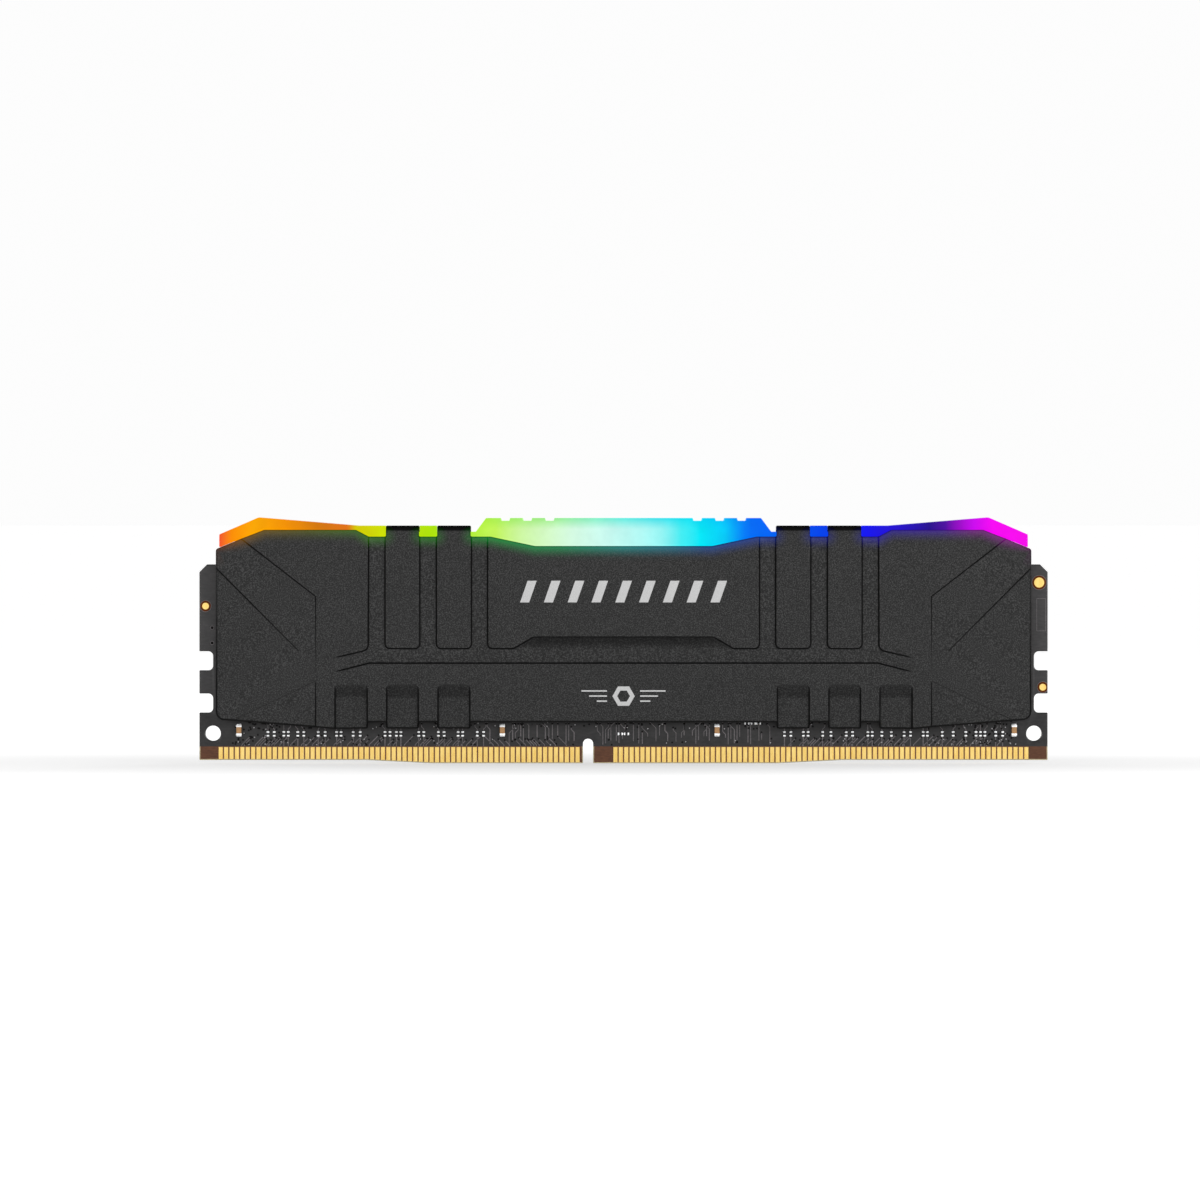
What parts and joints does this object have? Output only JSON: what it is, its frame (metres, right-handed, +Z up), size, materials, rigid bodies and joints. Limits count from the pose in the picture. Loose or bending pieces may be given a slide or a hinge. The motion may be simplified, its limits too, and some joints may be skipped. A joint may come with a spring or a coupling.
{
  "type": "computer memory module",
  "caption": "Desktop memory module: notched card with gold edge contacts, black two-part metal heat spreader and a translucent light bar along the top.",
  "frame": {"origin": "on the card edge at z=0, midway along the card and midway through its thickness", "axes": "+X along the card, towards the end with the longer contact row as seen from the front; -Y is the front; +Z up, from the card edge to the light bar"},
  "size_m": [0.1334, 0.0072, 0.0386],
  "materials": {
    "circuit_board": "satin",
    "gold_contact": "polished",
    "chip_moulding": "matte",
    "led_body": "satin",
    "ceramic_capacitor": "satin",
    "resistor": "satin",
    "thermal_pad": "matte",
    "heat_spreader": "satin",
    "print": "matte",
    "light_bar": "satin",
    "label": "matte"
  },
  "bodies": {
    "root": {"circuit_board": "circuit_board", "contacts_front_left": "gold_contact", "contacts_front_right": "gold_contact", "contacts_back_left": "gold_contact", "contacts_back_right": "gold_contact", "dram_front_1": "chip_moulding", "dram_front_2": "chip_moulding", "dram_front_3": "chip_moulding", "dram_front_4": "chip_moulding", "dram_front_5": "chip_moulding", "dram_front_6": "chip_moulding", "dram_front_7": "chip_moulding", "dram_front_8": "chip_moulding", "dram_back_1": "chip_moulding", "dram_back_2": "chip_moulding", "dram_back_3": "chip_moulding", "dram_back_4": "chip_moulding", "dram_back_5": "chip_moulding", "dram_back_6": "chip_moulding", "dram_back_7": "chip_moulding", "dram_back_8": "chip_moulding", "spd_eeprom": "chip_moulding", "led_controller": "chip_moulding", "led_front_1": "led_body", "led_front_2": "led_body", "led_front_3": "led_body", "led_front_4": "led_body", "led_front_5": "led_body", "led_back_1": "led_body", "led_back_2": "led_body", "led_back_3": "led_body", "led_back_4": "led_body", "led_back_5": "led_body", "ceramic_capacitor_1": "ceramic_capacitor", "ceramic_capacitor_2": "ceramic_capacitor", "ceramic_capacitor_3": "ceramic_capacitor", "ceramic_capacitor_4": "ceramic_capacitor", "thermal_pad_front": "thermal_pad", "thermal_pad_back": "thermal_pad", "heat_spreader_front": "heat_spreader", "heat_spreader_back": "heat_spreader", "light_bar": "light_bar", "rating_label": "label"}
  },
  "joints": []
}
